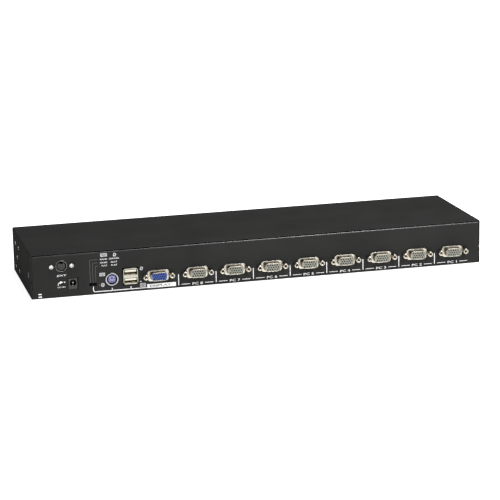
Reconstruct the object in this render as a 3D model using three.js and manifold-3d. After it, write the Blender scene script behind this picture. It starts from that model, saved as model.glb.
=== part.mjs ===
// An eight-port KVM switch in a one-rack-unit steel case, as an assembly of separate pieces.
// Millimetres, +Z up, +X to the right as seen from the front. The front wall faces -Y and the wall
// with the sockets faces +Y. The origin is the centre of the tray's underside.

import * as THREE from "three";
import { mergeVertices } from "three/addons/utils/BufferGeometryUtils.js";
import Module from "manifold-3d";

const wasm = await Module();
wasm.setup();

// ---------------------------------------------------------------- driving dimensions

const WIDTH = 438; // case, along X
const DEPTH = 120; // case, along Y
const HEIGHT = 42.5; // case, along Z
const SHEET = 1; // steel sheet thickness
const BEND = 1.2; // outside radius of a bend
const GAP = 0.3; // air between two sheets that face each other

const REAR = DEPTH / 2; // outer face of the wall with the sockets
const FRONT = -DEPTH / 2; // outer face of the front wall
const TRAY_HALF_WIDTH = WIDTH / 2 - SHEET - GAP;
const TRAY_TOP = HEIGHT - SHEET - 0.7;
const FLANGE_DEPTH = 14; // of the tray's folded top edges

const BOARD_TOP = 7; // component side of the main board
const BOARD_THICKNESS = 1.6;

// Sockets, measured across the rear wall from its left-hand end as seen from behind.
const acrossRear = (distance) => WIDTH / 2 - distance;
const PORT_COUNT = 8;
const PORT_PITCH = 36.15;
const PORT_8_ACROSS = 156.8;
const SOCKET_HEIGHT = 13.4; // axis of the D sockets above the underside
const CONSOLE = { x: acrossRear(119.4), z: SOCKET_HEIGHT };
const USB = { x: acrossRear(93.1), z: 15.05 };
const KEYBOARD = { x: acrossRear(75.4), z: 13.6 };
const AUX = { x: acrossRear(28.5), z: 29.9 };
const DC = { x: acrossRear(38.9), z: 13.1 };
const MODE = { x: acrossRear(57.6), z: 9.9 };
const portX = (number) => acrossRear(PORT_8_ACROSS + (PORT_COUNT - number) * PORT_PITCH);

// D socket, 15 contacts in three rows.
const D_WIDTH = 16.33; // shell, outside, at its wide edge
const D_HEIGHT = 7.9;
const D_RADIUS = 2.6;
const D_SLANT = Math.tan((10 * Math.PI) / 180);
const D_WALL = 0.45;
const D_REACH = 5.4; // shell beyond the rear wall
const D_FLANGE = { width: 30.8, height: 12.5, thickness: 0.5 };
const D_LAND = { top: 10.9, bottom: 9.7, height: 10.7, radius: 2.6 }; // half widths; fills the opening
const JACK_SPACING = 24.99;
const JACK_ACROSS_FLATS = 4.76;
const JACK_REACH = 5.3;
const JACK_OPENING_RADIUS = 1.45;
const JACK_SHANK_RADIUS = 1.2;
const CONTACT_PITCH = 2.29;
const CONTACT_ROW_PITCH = 1.98;
const CONTACT_RADIUS = 0.55;
const CONTACTS_IN_ROW = 5;
const ROW_SHIFT = 0.57; // outer rows one way, the middle row the other

// Front controls.
const BUTTON_PITCH = 26;
const BUTTON = { width: 12, height: 6, z: 13.5, reach: 2.6, travel: 1 };
const WINDOW = { width: 5, height: 2, upperZ: 30, lowerZ: 25 };
const LABEL = { width: 256, bottom: 4, top: 38.5, thickness: 0.3 };
const FRONT_BOARD = { width: 212, bottom: 8.5, top: 36, face: FRONT + 4.4 };
const buttonX = (number) => (number - (PORT_COUNT + 1) / 2) * BUTTON_PITCH;
const portNumbers = Array.from({ length: PORT_COUNT }, (_, i) => i + 1);

// Rack-ear fixing holes in each side wall, and the cover's screws.
const EAR_HOLES = { y: FRONT + 29, z: 19.45, spacingY: 22, spacingZ: 22.7, radius: 1.6 };
const TOP_SCREW = { x: 95.7, y: REAR - 8 };
const SIDE_SCREW = { y: REAR - 15.7, z: 19.7 };
const SCREW_HEAD_RADIUS = 2.75;
const SCREW_SHANK_RADIUS = 1.25;

// ---------------------------------------------------------------- materials

const paint = (color, roughness, metalness = 0) =>
  new THREE.MeshStandardMaterial({ color, roughness, metalness });

const material = {
  coatedSteel: paint(0x26262a, 0.55, 0.2),
  nickel: paint(0xc9c2b2, 0.28, 1),
  zinc: paint(0xd2d2d0, 0.3, 1),
  blackScrew: paint(0x1c1c1e, 0.4, 0.8),
  greyPlastic: paint(0x8f9089, 0.55),
  bluePlastic: paint(0x2747b8, 0.5),
  lilacPlastic: paint(0xa9a0dc, 0.5),
  blackPlastic: paint(0x1b1b1c, 0.5),
  whitePlastic: paint(0xe4e2d6, 0.5),
  labelFilm: paint(0x202124, 0.6),
  clearPlastic: paint(0xd8e0d4, 0.2),
  board: paint(0x14532d, 0.5),
  chip: paint(0x161616, 0.6),
  cable: paint(0x9a9a9a, 0.6),
};

// ---------------------------------------------------------------- shapes and solids

const rectangle = (x0, y0, x1, y1) =>
  new THREE.Shape().moveTo(x0, y0).lineTo(x1, y0).lineTo(x1, y1).lineTo(x0, y1).closePath();

const polygon = (points) => new THREE.Shape(points.map(([x, y]) => new THREE.Vector2(x, y)));

/** A regular polygon that stands for a circle, with its first corner half a side round. */
function disc(radius, sides = 16, x = 0, y = 0) {
  const corner = (i) => ((i + 0.5) * 2 * Math.PI) / sides;
  return polygon(
    Array.from({ length: sides }, (_, i) => [
      x + radius * Math.cos(corner(i)),
      y + radius * Math.sin(corner(i)),
    ]),
  );
}

/** A closed outline through the given corners, each rounded to its own radius. */
function roundedPolygon(corners, steps = 3) {
  const points = [];
  corners.forEach(([x, y, radius], i) => {
    const here = new THREE.Vector2(x, y);
    if (!radius) {
      points.push(here);
      return;
    }
    const before = corners.at(i - 1);
    const after = corners[(i + 1) % corners.length];
    const toBefore = new THREE.Vector2(before[0], before[1]).sub(here).normalize();
    const toAfter = new THREE.Vector2(after[0], after[1]).sub(here).normalize();
    const half = Math.acos(toBefore.dot(toAfter)) / 2;
    const centre = toBefore.clone().add(toAfter).setLength(radius / Math.sin(half)).add(here);
    const start = toBefore.clone().multiplyScalar(radius / Math.tan(half)).add(here).sub(centre);
    const end = toAfter.clone().multiplyScalar(radius / Math.tan(half)).add(here).sub(centre);
    const turn = Math.atan2(start.cross(end), start.dot(end));
    for (let step = 0; step <= steps; step++) {
      const spoke = start.clone().rotateAround(new THREE.Vector2(), (turn * step) / steps);
      points.push(spoke.add(centre));
    }
  });
  return new THREE.Shape(points);
}

const roundedRectangle = (width, height, radius, steps = 2) =>
  roundedPolygon(
    [
      [-width / 2, -height / 2, radius],
      [width / 2, -height / 2, radius],
      [width / 2, height / 2, radius],
      [-width / 2, height / 2, radius],
    ],
    steps,
  );

/** The D outline, wide edge up, grown outwards by a margin. */
function dOutline(margin = 0, steps = 3) {
  const top = D_HEIGHT / 2 + margin;
  const wide = D_WIDTH / 2 + margin;
  const narrow = wide - (D_HEIGHT + 2 * margin) * D_SLANT;
  const radius = D_RADIUS + margin;
  return roundedPolygon(
    [
      [-narrow, -top, radius],
      [narrow, -top, radius],
      [wide, top, radius],
      [-wide, top, radius],
    ],
    steps,
  );
}

/** The raised land on a D socket's flange, grown outwards by a margin. */
function landOutline(margin = 0) {
  const top = D_LAND.height / 2 + margin;
  const radius = D_LAND.radius + margin;
  return roundedPolygon([
    [-D_LAND.bottom - margin, -top, radius],
    [D_LAND.bottom + margin, -top, radius],
    [D_LAND.top + margin, top, radius],
    [-D_LAND.top - margin, top, radius],
  ]);
}

const extrude = (shape, depth) =>
  new THREE.ExtrudeGeometry(shape, { depth, bevelEnabled: false, curveSegments: 1 });

/** A shape drawn in X and Z, drawn out along Y. */
const alongY = (shape, y0, y1) =>
  extrude(shape, y1 - y0).rotateX(Math.PI / 2).translate(0, y1, 0);

/** A shape drawn in Y and Z, drawn out along X. */
const alongX = (shape, x0, x1) =>
  extrude(shape, x1 - x0)
    .applyMatrix4(
      new THREE.Matrix4().makeBasis(
        new THREE.Vector3(0, 1, 0),
        new THREE.Vector3(0, 0, 1),
        new THREE.Vector3(1, 0, 0),
      ),
    )
    .translate(x0, 0, 0);

/** A shape drawn in X and Y, drawn out along Z. */
const alongZ = (shape, z0, z1) => extrude(shape, z1 - z0).translate(0, 0, z0);

const block = (x0, y0, z0, x1, y1, z1) =>
  new THREE.BoxGeometry(x1 - x0, y1 - y0, z1 - z0).translate(
    (x0 + x1) / 2,
    (y0 + y1) / 2,
    (z0 + z1) / 2,
  );

/** A turned piece: profile points are [radius, height], and its axis is +Z. */
const turned = (profile, sides = 16) =>
  new THREE.LatheGeometry(
    profile.map(([radius, height]) => new THREE.Vector2(radius, height)),
    sides,
  ).rotateX(Math.PI / 2);

function toSolid(geometry) {
  const bare = geometry.clone();
  bare.deleteAttribute("normal");
  bare.deleteAttribute("uv");
  const merged = mergeVertices(bare, 1e-4);
  return new wasm.Manifold(
    new wasm.Mesh({
      numProp: 3,
      vertProperties: merged.attributes.position.array,
      triVerts: new Uint32Array(merged.index.array),
    }),
  );
}

function toGeometry(solid) {
  const mesh = solid.getMesh();
  const geometry = new THREE.BufferGeometry();
  geometry.setAttribute("position", new THREE.BufferAttribute(mesh.vertProperties, 3));
  geometry.setIndex(new THREE.BufferAttribute(mesh.triVerts, 1));
  geometry.computeVertexNormals();
  return geometry;
}

/** Joins the added geometries, then cuts the others away. */
function carve(added, cut = []) {
  const joined = added.map(toSolid).reduce((a, b) => a.add(b));
  return toGeometry(cut.map(toSolid).reduce((a, b) => a.subtract(b), joined));
}

function piece(name, geometry, surface) {
  const mesh = new THREE.Mesh(geometry, surface);
  mesh.name = name;
  return mesh;
}

/** A group placed at a socket: its origin is where the socket's axis meets the wall's outer face. */
function socketGroup({ x, z }, ...meshes) {
  const group = new THREE.Group();
  group.position.set(x, REAR, z);
  group.add(...meshes);
  return group;
}

// ---------------------------------------------------------------- case

const throughRear = (shape) => alongY(shape, -2 * SHEET, SHEET).translate(0, REAR, 0);
const throughFront = (shape) => alongY(shape, -SHEET, 2 * SHEET).translate(0, FRONT, 0);
const moved = (geometry, { x, z }) => geometry.translate(x, 0, z);

/** The two side walls' hole centres, as [y, z]. */
const earHoleCentres = [
  [0, 0],
  ...[-1, 1].flatMap((i) =>
    [-1, 1].map((j) => [(i * EAR_HOLES.spacingY) / 2, (j * EAR_HOLES.spacingZ) / 2]),
  ),
].map(([y, z]) => [EAR_HOLES.y + y, EAR_HOLES.z + z]);

/** Holes through both side walls: the rack-ear pattern, and one for the cover's side screw. */
function sideHoles(screwRadius) {
  const side = (x0, x1) => [
    ...earHoleCentres.map(([y, z]) => alongX(disc(EAR_HOLES.radius, 10, y, z), x0, x1)),
    alongX(disc(screwRadius, 12, SIDE_SCREW.y, SIDE_SCREW.z), x0, x1),
  ];
  const reach = WIDTH / 2;
  return [...side(-reach - SHEET, -reach + 3 * SHEET), ...side(reach - 3 * SHEET, reach + SHEET)];
}

const topHoles = (radius) =>
  [-1, 1].map((side) =>
    alongZ(disc(radius, 12, side * TOP_SCREW.x, TOP_SCREW.y), TRAY_TOP - 3 * SHEET, HEIGHT + SHEET),
  );

/** Floor, rear wall and front wall, with both walls' folded tops: one folded strip, seen end on. */
function trayProfile() {
  const inner = BEND - SHEET;
  const lip = REAR - FLANGE_DEPTH;
  return roundedPolygon(
    [
      [FRONT, 0, BEND],
      [REAR, 0, BEND],
      [REAR, TRAY_TOP, BEND],
      [lip, TRAY_TOP, 0],
      [lip, TRAY_TOP - SHEET, 0],
      [REAR - SHEET, TRAY_TOP - SHEET, inner],
      [REAR - SHEET, SHEET, inner],
      [FRONT + SHEET, SHEET, inner],
      [FRONT + SHEET, TRAY_TOP - SHEET, inner],
      [-lip, TRAY_TOP - SHEET, 0],
      [-lip, TRAY_TOP, 0],
      [FRONT, TRAY_TOP, BEND],
    ],
    4,
  );
}

/** The openings for a D socket: one round its land, and one for each jackscrew's shank. */
function dOpening(at) {
  const hole = (side) => disc(JACK_OPENING_RADIUS, 10, (side * JACK_SPACING) / 2, 0);
  return [landOutline(0.2), hole(-1), hole(1)].map((s) => moved(throughRear(s), at));
}

function rearOpenings() {
  const ports = portNumbers.map((number) => ({ x: portX(number), z: SOCKET_HEIGHT }));
  return [
    ...[CONSOLE, ...ports].flatMap(dOpening),
    moved(throughRear(rectangle(-7.7, -8.3, 7.7, 8.3)), USB),
    moved(throughRear(disc(6.35, 24)), KEYBOARD),
    moved(throughRear(disc(5.5, 24)), AUX),
    moved(throughRear(disc(1.3, 10, -9.5, 0)), AUX),
    moved(throughRear(disc(1.3, 10, 9.5, 0)), AUX),
    moved(throughRear(rectangle(-4.8, -6.1, 4.8, 5.3)), DC),
    moved(throughRear(rectangle(-3.6, -1.5, 3.6, 1.5)), MODE),
  ];
}

const buttonOpening = (grow) =>
  roundedRectangle(BUTTON.width + 2 * grow, BUTTON.height + 2 * grow, 1 + grow);

const windowOpening = (grow) =>
  rectangle(
    -WINDOW.width / 2 - grow,
    -WINDOW.height / 2 - grow,
    WINDOW.width / 2 + grow,
    WINDOW.height / 2 + grow,
  );

/** The front wall's and the label film's openings: a button and two windows for each port. */
function frontOpenings(grow, cutter) {
  return portNumbers.flatMap((number) => {
    const x = buttonX(number);
    return [
      moved(cutter(buttonOpening(grow)), { x, z: BUTTON.z }),
      moved(cutter(windowOpening(grow)), { x, z: WINDOW.upperZ }),
      moved(cutter(windowOpening(grow)), { x, z: WINDOW.lowerZ }),
    ];
  });
}

/** Side flanges folded up from the floor, which take the cover's side screws and the rack ears. */
function sideFlange(side) {
  const outer = side * TRAY_HALF_WIDTH;
  const inner = outer - side * SHEET;
  const end = REAR - 6;
  return block(Math.min(inner, outer), -end, 0.4, Math.max(inner, outer), end, TRAY_TOP - 4);
}

/** Two bosses behind the front wall that carry the front board. */
const frontBoss = (side) =>
  alongY(disc(3, 8, side * 102, 19.5), FRONT + SHEET / 2, FRONT_BOARD.face - 0.1);

function baseTray() {
  return piece(
    "base_tray",
    carve(
      [
        alongX(trayProfile(), -TRAY_HALF_WIDTH, TRAY_HALF_WIDTH),
        sideFlange(-1),
        sideFlange(1),
        frontBoss(-1),
        frontBoss(1),
      ],
      [
        ...rearOpenings(),
        ...frontOpenings(0.3, throughFront),
        ...topHoles(SCREW_SHANK_RADIUS + GAP),
        ...sideHoles(EAR_HOLES.radius),
      ],
    ),
    material.coatedSteel,
  );
}

/** Top and both side walls in one folded sheet, with a locating notch in each wall's rear edge. */
function topCover() {
  const half = WIDTH / 2;
  const foot = GAP;
  const profile = roundedPolygon(
    [
      [-half, foot, 0],
      [-half + SHEET, foot, 0],
      [-half + SHEET, HEIGHT - SHEET, BEND - SHEET],
      [half - SHEET, HEIGHT - SHEET, BEND - SHEET],
      [half - SHEET, foot, 0],
      [half, foot, 0],
      [half, HEIGHT, BEND],
      [-half, HEIGHT, BEND],
    ],
    4,
  );
  const notch = { depth: 1.4, bottom: 15.4, top: 17.2 };
  const notches = [-1, 1].map((side) =>
    block(-2, REAR - notch.depth, notch.bottom, 2, REAR + 1, notch.top).translate(side * half, 0, 0),
  );
  return piece(
    "top_cover",
    carve(
      [alongY(profile, FRONT, REAR)],
      [
        ...topHoles(SCREW_HEAD_RADIUS + GAP),
        ...sideHoles(SCREW_HEAD_RADIUS + GAP),
        ...notches,
      ],
    ),
    material.coatedSteel,
  );
}

/** A cross recess for a screw head whose top is at z = 0. */
function crossRecess(width, depth) {
  const arm = (w, h) => block(-w / 2, -h / 2, -depth, w / 2, h / 2, 1);
  return [arm(width, width / 4), arm(width / 4, width)];
}

/** A flat-head screw, its head's top at the origin, going down -Z. */
function flatScrew() {
  const head = SCREW_HEAD_RADIUS;
  const shank = SCREW_SHANK_RADIUS;
  const profile = [[0, -5], [shank, -5], [shank, -0.9], [head, -0.5], [head, 0], [0, 0]];
  return carve([turned(profile, 12)], crossRecess(3, 0.4));
}

function coverScrews() {
  return [
    ["left", -1],
    ["right", 1],
  ].flatMap(([name, side]) => {
    const top = piece(`cover_screw_top_${name}`, flatScrew(), material.blackScrew);
    top.position.set(side * TOP_SCREW.x, TOP_SCREW.y, HEIGHT - 0.1);
    const wall = piece(`cover_screw_side_${name}`, flatScrew(), material.blackScrew);
    wall.position.set(side * (WIDTH / 2 - 0.1), SIDE_SCREW.y, SIDE_SCREW.z);
    wall.rotation.y = (side * Math.PI) / 2;
    return [top, wall];
  });
}

// ---------------------------------------------------------------- rear sockets

/** Flange with its raised land, D-shaped shell, and the two hex jackscrews that hold it to the wall. */
function dShell(name) {
  const flangeFront = -SHEET - GAP;
  const flangeBack = flangeFront - D_FLANGE.thickness;
  const flange = roundedRectangle(D_FLANGE.width, D_FLANGE.height, 2.2);
  const bore = { radius: 1.15, end: 0.5 };
  const jack = (side) => {
    const x = (side * JACK_SPACING) / 2;
    return [
      alongY(disc(JACK_ACROSS_FLATS / Math.sqrt(3), 6, x, 0), 0.1, JACK_REACH),
      alongY(disc(JACK_SHANK_RADIUS, 8, x, 0), flangeBack, 0.2),
    ];
  };
  return piece(
    name,
    carve(
      [
        alongY(flange, flangeBack, flangeFront),
        alongY(landOutline(), flangeBack, -0.1),
        alongY(dOutline(), flangeBack, D_REACH),
        ...jack(-1),
        ...jack(1),
      ],
      [
        alongY(dOutline(-D_WALL), flangeBack - 1, D_REACH + 1),
        alongY(disc(bore.radius, 8, -JACK_SPACING / 2, 0), bore.end, JACK_REACH + 1),
        alongY(disc(bore.radius, 8, JACK_SPACING / 2, 0), bore.end, JACK_REACH + 1),
      ],
    ),
    material.nickel,
  );
}

/** The moulding inside a D shell: the nose with its contact holes, and the block behind it. */
function dInsulator(name, surface) {
  const nose = { front: D_REACH - 0.35, back: -SHEET - GAP - D_FLANGE.thickness - 0.1 };
  const holes = [-1, 0, 1].flatMap((row) =>
    Array.from({ length: CONTACTS_IN_ROW }, (_, i) => {
      const shift = row === 0 ? -ROW_SHIFT : ROW_SHIFT;
      const x = shift + (i - (CONTACTS_IN_ROW - 1) / 2) * CONTACT_PITCH;
      const hole = disc(CONTACT_RADIUS, 6, x, row * CONTACT_ROW_PITCH);
      return alongY(hole, nose.front - 4, nose.front + 1);
    }),
  );
  const body = block(-12, nose.back - 9, BOARD_TOP - SOCKET_HEIGHT + 0.1, 12, nose.back, 5.4);
  return piece(
    name,
    carve([alongY(dOutline(-D_WALL - 0.12), nose.back - 1, nose.front), body], holes),
    surface,
  );
}

function videoSockets() {
  const consolePort = socketGroup(
    CONSOLE,
    dShell("console_shell"),
    dInsulator("console_insulator", material.bluePlastic),
  );
  const ports = portNumbers.map((number) =>
    socketGroup(
      { x: portX(number), z: SOCKET_HEIGHT },
      dShell(`port_${number}_shell`),
      dInsulator(`port_${number}_insulator`, material.greyPlastic),
    ),
  );
  return [consolePort, ...ports];
}

/** Two USB A sockets, one above the other, in one folded shell. */
function usbSocket() {
  const bay = { width: 12.5, height: 5.12, offset: 4 };
  const front = 0.8;
  const back = -17;
  const tongue = { width: 11.1, thickness: 1.84, drop: 0.7 };
  const cavity = (side) =>
    alongY(roundedRectangle(bay.width, bay.height, 0.4, 1), back - 1, front + 1).translate(
      0,
      0,
      side * bay.offset,
    );
  const shell = carve(
    [alongY(roundedRectangle(13.9, 15.1, 0.8), back, front)],
    [cavity(-1), cavity(1)],
  );
  const tongueAt = (side) => {
    const top = side * bay.offset + bay.height / 2 - tongue.drop;
    const half = tongue.width / 2;
    return block(-half, -14, top - tongue.thickness, half, front - 0.9, top);
  };
  const plug = (side) => {
    const halfWidth = bay.width / 2 - 0.2;
    const halfHeight = bay.height / 2 - 0.2;
    const z = side * bay.offset;
    return block(-halfWidth, back + 0.5, z - halfHeight, halfWidth, -13, z + halfHeight);
  };
  const spine = block(-5, back - 1.5, -6, 5, back - 0.2, 6);
  const bridge = (side) => block(-5, back - 1, side * bay.offset - 1, 5, -13, side * bay.offset + 1);
  return socketGroup(
    USB,
    piece("usb_shell", shell, material.nickel),
    piece(
      "usb_insulator",
      carve([spine, ...[-1, 1].flatMap((side) => [tongueAt(side), plug(side), bridge(side)])]),
      material.whitePlastic,
    ),
  );
}

/** Six contacts on a circle of a mini-DIN socket, and its key slot above the middle. */
function roundSocketHoles(front) {
  const contacts = [28, 62, 98, 142, 218, 322].map((degrees) => {
    const angle = (degrees * Math.PI) / 180;
    return disc(0.45, 6, 2.4 * Math.cos(angle), 2.4 * Math.sin(angle) - 0.2);
  });
  const key = rectangle(-0.7, 0.2, 0.7, 1.7);
  return [key, ...contacts].map((shape) => alongY(shape, front - 4, front + 1));
}

/** A stepped round insulator: thin in front, where the plug's shell goes round it. */
function roundInsulator(name, front, back, surface) {
  return piece(
    name,
    carve(
      [alongY(disc(3.7, 20), back, front), alongY(disc(4.4, 20), back, back + 3)],
      roundSocketHoles(front),
    ),
    surface,
  );
}

function keyboardSocket() {
  const shield = carve(
    [
      alongY(disc(6.1, 24), -4, 0.7),
      block(-7, -12.5, BOARD_TOP - KEYBOARD.z + 0.1, 7, -SHEET - GAP, 6.4),
    ],
    [alongY(disc(4.6, 24), -20, 2)],
  );
  return socketGroup(
    KEYBOARD,
    piece("keyboard_socket_shield", shield, material.nickel),
    roundInsulator("keyboard_socket_insulator", 0.2, -12, material.lilacPlastic),
  );
}

/** Panel-mounted round socket whose flange takes two screws through the wall. */
function auxSocket() {
  const screwX = 9.5;
  const flange = { front: -SHEET - GAP, back: -SHEET - GAP - 1.2 };
  const tab = (x) => disc(1.3, 10, x, 0);
  const shield = carve(
    [
      alongY(roundedRectangle(26, 12.4, 2), flange.back, flange.front),
      alongY(disc(5.2, 24), flange.back, 0.5),
      alongY(disc(6, 24), -11, flange.back + 0.2),
    ],
    [
      alongY(disc(4.8, 24), -20, 2),
      alongY(tab(-screwX), -5, 1),
      alongY(tab(screwX), -5, 1),
    ],
  );
  const screw = (name, side) => {
    const head = 2.05;
    const shank = 0.98;
    const profile = [[0, -6], [shank, -6], [shank, 0.05], [head, 0.05], [head, 0.9], [1.5, 1.5], [0, 1.6]];
    const cross = crossRecess(2.2, 0.8).map((arm) => arm.translate(0, 0, 1.6));
    const mesh = piece(name, carve([turned(profile, 12)], cross), material.zinc);
    mesh.position.x = side * screwX;
    mesh.rotation.x = -Math.PI / 2;
    return mesh;
  };
  return socketGroup(
    AUX,
    piece("aux_socket_shield", shield, material.nickel),
    roundInsulator("aux_socket_insulator", 0.1, -10.5, material.blackPlastic),
    screw("aux_screw_left", -1),
    screw("aux_screw_right", 1),
  );
}

function dcInlet() {
  const face = -0.35;
  const bore = { radius: 3.15, end: -9.5 };
  const body = carve(
    [block(-4.5, -13.5, BOARD_TOP - DC.z + 0.1, 4.5, face, 5)],
    [alongY(disc(bore.radius, 20), bore.end, 1), alongY(disc(1.3, 12), -20, 1)],
  );
  const pin = turned([[0, 0], [1.05, 0], [1.05, 11.2], [0.6, 11.8], [0, 11.8]], 12)
    .rotateX(-Math.PI / 2)
    .translate(0, -12.8, 0);
  return socketGroup(
    DC,
    piece("dc_inlet_body", body, material.blackPlastic),
    piece("dc_inlet_pin", pin, material.zinc),
  );
}

/** A three-position slide switch: the slider runs along X in its frame, 2.5 mm each way. */
function modeSwitch() {
  const travel = 2.5;
  const foot = { width: 3.4, height: 2.4 };
  const room = travel + foot.width / 2 + 0.2;
  const frameFront = -SHEET - GAP;
  const frame = carve(
    [block(-5.6, -7.6, BOARD_TOP - MODE.z + 0.1, 5.6, frameFront, 2.3)],
    [
      block(-room, -6.4, -foot.height / 2 - 0.2, room, -3.6, foot.height / 2 + 0.2),
      block(-3.6, -5, -1.1, 3.6, 0, 1.1),
    ],
  );
  const slider = carve([
    block(-foot.width / 2, -6.1, -foot.height / 2, foot.width / 2, -3.9, foot.height / 2),
    block(-0.9, -4.5, -0.85, 0.9, -0.2, 0.85),
  ]);
  return socketGroup(
    MODE,
    piece("mode_switch_frame", frame, material.blackPlastic),
    piece("mode_switch_slider", slider, material.blackPlastic),
  );
}

// ---------------------------------------------------------------- front controls

function portButton(number) {
  const face = -BUTTON.reach - LABEL.thickness;
  const back = SHEET + 0.2;
  const cap = roundedRectangle(BUTTON.width, BUTTON.height, 1);
  const geometry = carve([
    alongY(cap, face, back + 1),
    alongY(roundedRectangle(BUTTON.width + 2.4, BUTTON.height + 2.4, 1), back, back + 1),
    block(-1.6, back, -1.6, 1.6, back + 1.6, 1.6),
  ]);
  const mesh = piece(`port_button_${number}`, geometry, material.greyPlastic);
  mesh.position.set(buttonX(number), FRONT, BUTTON.z);
  return mesh;
}

/** Printed film on the front wall, with an opening for each button and window. */
function frontLabel() {
  const half = LABEL.width / 2;
  const back = FRONT - 0.05;
  const sheet = rectangle(-half, LABEL.bottom, half, LABEL.top);
  return piece(
    "front_label",
    carve([alongY(sheet, back - LABEL.thickness, back)], frontOpenings(0.15, throughFront)),
    material.labelFilm,
  );
}

/** One clear moulding: a runner behind the front wall, with two lenses for each port. */
function lightPipe() {
  const runner = { front: FRONT + SHEET + 0.5, back: FRONT + SHEET + 2.5 };
  const end = buttonX(PORT_COUNT) + 6;
  const lens = (x, z) => moved(alongY(windowOpening(0), FRONT - 0.6, runner.front + 0.5), { x, z });
  return piece(
    "light_pipe",
    carve([
      block(-end, runner.front, WINDOW.lowerZ - 2, end, runner.back, WINDOW.upperZ + 2),
      ...portNumbers.flatMap((number) => [
        lens(buttonX(number), WINDOW.upperZ),
        lens(buttonX(number), WINDOW.lowerZ),
      ]),
    ]),
    material.clearPlastic,
  );
}

/** Board with its eight low dome switches soldered on, behind the buttons. */
function frontBoard() {
  const half = FRONT_BOARD.width / 2;
  const { bottom, top, face } = FRONT_BOARD;
  const keySwitch = (number) =>
    block(-3, face - 0.5, BUTTON.z - 3, 3, face + 0.2, BUTTON.z + 3).translate(buttonX(number), 0, 0);
  return piece(
    "front_board",
    carve([
      block(-half, face, bottom, half, face + BOARD_THICKNESS, top),
      ...portNumbers.map(keySwitch),
    ]),
    material.board,
  );
}

// ---------------------------------------------------------------- inside

const STANDOFFS = [
  ["front_left", -203, -34],
  ["front_right", 203, -34],
  ["rear_left", -203, 34],
  ["rear_right", 203, 34],
];

function mainBoard() {
  const sheet = rectangle(-212, -42, 212, 57.3);
  sheet.holes.push(...STANDOFFS.map(([, x, y]) => disc(1.7, 8, x, y)));
  return piece(
    "main_board",
    alongZ(sheet, BOARD_TOP - BOARD_THICKNESS, BOARD_TOP),
    material.board,
  );
}

function standoff([name, x, y]) {
  const top = BOARD_TOP - BOARD_THICKNESS - 0.1;
  const across = disc(2.9, 6);
  const screw = [
    alongZ(disc(1.3, 8), top - 1, BOARD_TOP + 0.5),
    alongZ(disc(2.7, 8), BOARD_TOP + 0.1, BOARD_TOP + 1.9),
  ];
  const mesh = piece(
    `board_standoff_${name}`,
    carve([alongZ(across, SHEET + 0.1, top), ...screw]),
    material.zinc,
  );
  mesh.position.set(x, y, 0);
  return mesh;
}

/** A flat package with its legs drawn as one skirt along each leaded side. */
function chip(name, x, y, width, depth, height) {
  const floor = BOARD_TOP + 0.1;
  const legs = block(-width / 2 - 1.2, -depth / 2 + 1, floor, width / 2 + 1.2, depth / 2 - 1, floor + 0.4);
  const body = block(-width / 2, -depth / 2, floor + 0.1, width / 2, depth / 2, floor + height);
  const mesh = piece(name, carve([body, legs]), material.chip);
  mesh.position.set(x, y, 0);
  return mesh;
}

function can(name, x, y, radius, height, surface) {
  const mesh = piece(name, alongZ(disc(radius, 16), 0, height), surface);
  mesh.position.set(x, y, BOARD_TOP + 0.1);
  return mesh;
}

/** A strip of one thickness along a smooth path in Y and Z, as wide as given along X. */
function flatCable(name, x, width, thickness, path) {
  const route = new THREE.SplineCurve(path.map(([y, z]) => new THREE.Vector2(y, z)));
  const steps = 14;
  const edge = (side) =>
    Array.from({ length: steps + 1 }, (_, i) => {
      const across = route.getTangentAt(i / steps).rotateAround(new THREE.Vector2(), Math.PI / 2);
      return across.multiplyScalar((side * thickness) / 2).add(route.getPointAt(i / steps));
    });
  const strip = new THREE.Shape([...edge(1), ...edge(-1).reverse()]);
  return piece(name, alongX(strip, x - width / 2, x + width / 2), material.cable);
}

/** From the back of the front board, over and down to the main board. */
function linkCable() {
  const start = FRONT_BOARD.face + BOARD_THICKNESS + 0.3;
  return flatCable("board_link_cable", 60, 20, 1.2, [
    [start, 22],
    [start + 4, 22.5],
    [start + 9, 20],
    [start + 12, 14],
    [start + 13, BOARD_TOP + 0.4],
  ]);
}

/** From the back of the auxiliary socket, down to the main board. */
function auxCable() {
  return flatCable("aux_cable", AUX.x, 6, 2, [
    [REAR - 11.4, AUX.z],
    [REAR - 15, AUX.z],
    [REAR - 20, AUX.z - 4],
    [REAR - 22, AUX.z - 13],
    [REAR - 22, BOARD_TOP + 0.4],
  ]);
}

function boardParts() {
  return [
    chip("microcontroller", 95, -2, 20, 20, 2.6),
    chip("video_switch_chip", -30, 12, 28, 28, 2.8),
    chip("voltage_regulator", 176, 18, 10, 8, 4.4),
    can("filter_capacitor", 160, 12, 5, 12, material.blackPlastic),
    can("power_inductor", 188, 8, 5.5, 6, material.chip),
    can("buzzer", 130, -26, 6, 8, material.blackPlastic),
  ];
}

// ---------------------------------------------------------------- assembly

const kvmSwitch = new THREE.Group();
kvmSwitch.add(
  baseTray(),
  topCover(),
  ...coverScrews(),
  ...videoSockets(),
  usbSocket(),
  keyboardSocket(),
  auxSocket(),
  dcInlet(),
  modeSwitch(),
  ...portNumbers.map(portButton),
  frontLabel(),
  lightPipe(),
  frontBoard(),
  mainBoard(),
  ...STANDOFFS.map(standoff),
  ...boardParts(),
  linkCable(),
  auxCable(),
);

export default kvmSwitch;
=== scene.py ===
"""Looks of an eight-port KVM switch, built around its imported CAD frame.

Lengths are in millimetres while a piece is made, and become metres when it is placed. A piece on the
wall with the sockets is drawn as seen from behind: a is to the right, b is up and c comes out of the
wall, so a negative c is inside the case. A piece on the front wall is drawn the same way, as seen from
the front.
"""

import math

import bmesh
import bpy
from mathutils import Matrix, Vector


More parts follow.
